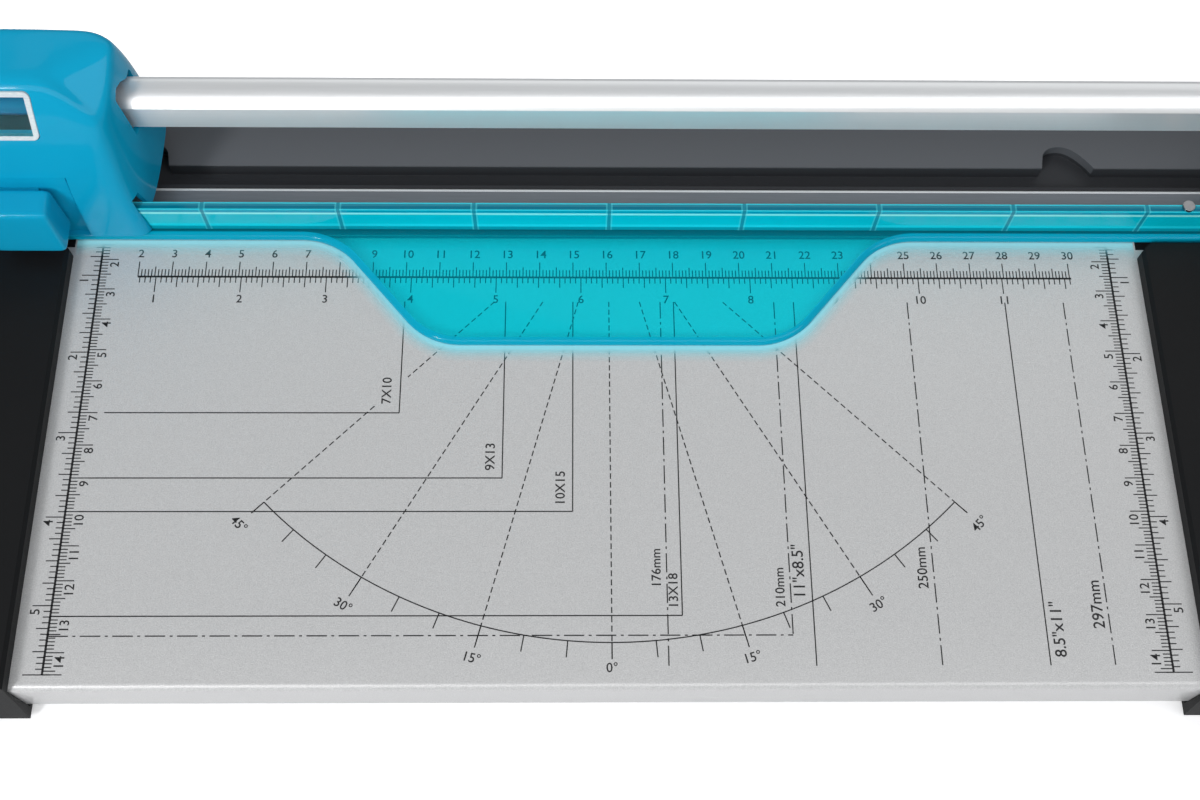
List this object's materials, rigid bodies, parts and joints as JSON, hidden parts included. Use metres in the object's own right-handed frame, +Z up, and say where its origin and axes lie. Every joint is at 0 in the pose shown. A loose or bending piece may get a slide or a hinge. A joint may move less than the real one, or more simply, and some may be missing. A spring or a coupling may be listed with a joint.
{
  "type": "rotary paper trimmer",
  "caption": "Desk paper trimmer: steel table with printed rulers, black moulded ends, aluminium rail, sliding cutter head with a round blade, and a clear paper clamp.",
  "frame": {"origin": "centre of the underside of the whole trimmer, on the desk, with the head parked at the left", "axes": "+X along the cutting line towards the right end, +Y to the back, +Z up"},
  "size_m": [0.446, 0.1934, 0.0817],
  "materials": {
    "table_paint": "fine grained satin silver",
    "plain_steel": "zinc plated",
    "black_moulding": "finely textured",
    "strip_plastic": "smooth",
    "rail_aluminium": "satin anodised",
    "screw_steel": "plated",
    "foot_rubber": "matte",
    "spring_steel": "bright",
    "clear_turquoise": "clear tinted",
    "teal_gloss": "gloss",
    "clear_window": "clear",
    "teal_dark": "satin",
    "white_plastic": "satin",
    "holder_plastic": "satin",
    "blade_steel": "ground"
  },
  "bodies": {
    "base": {"table_plate": "table_paint", "plate_stiffeners": "plain_steel", "left_end_cap": "black_moulding", "right_end_cap": "black_moulding", "rear_tray": "black_moulding", "cutting_strip": "strip_plastic", "guide_rail": "rail_aluminium", "rail_screws": "screw_steel", "base_screws": "screw_steel", "rubber_feet": "foot_rubber", "clamp_screws": "screw_steel", "clamp_springs": "spring_steel"},
    "clamp": {"clamp_bar": "clear_turquoise"},
    "carriage": {"head_shell": "teal_gloss", "head_window": "clear_window", "head_chassis": "teal_dark", "rail_glides": "white_plastic", "shell_screws": "screw_steel", "return_springs": "spring_steel"},
    "press": {"press_button": "teal_gloss", "blade_holder": "holder_plastic", "blade_axle": "screw_steel", "axle_clip": "spring_steel"},
    "wheel": {"blade_wheel": "blade_steel", "blade_hub": "holder_plastic"}
  },
  "joints": [
    {"name": "head_slide", "type": "slide", "parent": "base", "child": "carriage", "axis": [1, 0, 0], "range_m": [0, 0.3388]},
    {"name": "blade_press", "type": "slide", "parent": "carriage", "child": "press", "axis": [0, 0, -1], "range_m": [0, 0.003], "stiffness_N_per_m": 300, "springref_m": -0.003, "deforming": ["return_springs"]},
    {"name": "blade_spin", "type": "hinge", "parent": "press", "child": "wheel", "pos_m": [-0.1694, 0.05675, 0.0393], "axis": [0, 1, 0], "continuous": true},
    {"name": "clamp_press", "type": "slide", "parent": "base", "child": "clamp", "axis": [0, 0, -1], "range_m": [0, 0.0012], "stiffness_N_per_m": 800, "springref_m": -0.002, "deforming": ["clamp_springs"]}
  ]
}
